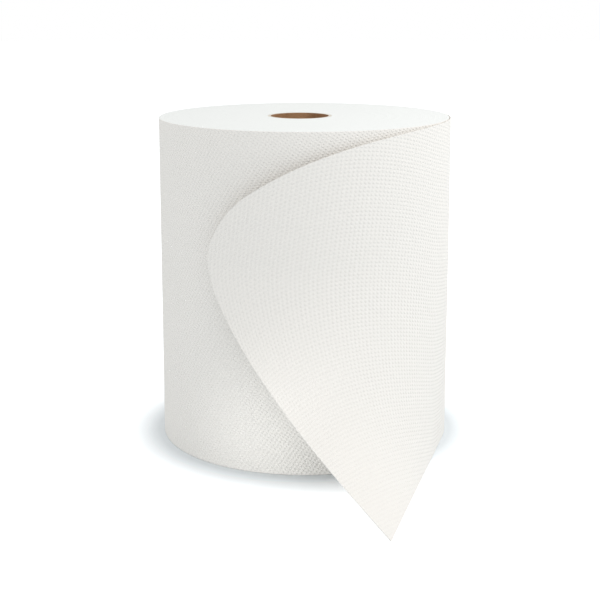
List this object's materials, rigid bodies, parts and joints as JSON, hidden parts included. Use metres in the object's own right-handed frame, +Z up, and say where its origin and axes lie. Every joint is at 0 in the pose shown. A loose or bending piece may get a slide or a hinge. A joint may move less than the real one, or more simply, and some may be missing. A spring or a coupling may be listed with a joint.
{
  "type": "paper towel roll",
  "caption": "Hard-wound roll of embossed paper towel on a spirally wound cardboard core, standing on its end with the loose end drawn out to a point on the floor.",
  "frame": {"origin": "on the core's axis, at the end that the roll stands on", "axes": "+Z up along the core's axis; the loose end is drawn out towards -Y, and -Y is the front"},
  "size_m": [0.1894, 0.2847, 0.21],
  "materials": {
    "embossed_paper": "soft matt, embossed with a fine lattice of dots",
    "core_board": "matt uncoated brown board"
  },
  "bodies": {
    "root": {"towel_roll": "embossed_paper", "core_tube": "core_board"}
  },
  "joints": []
}
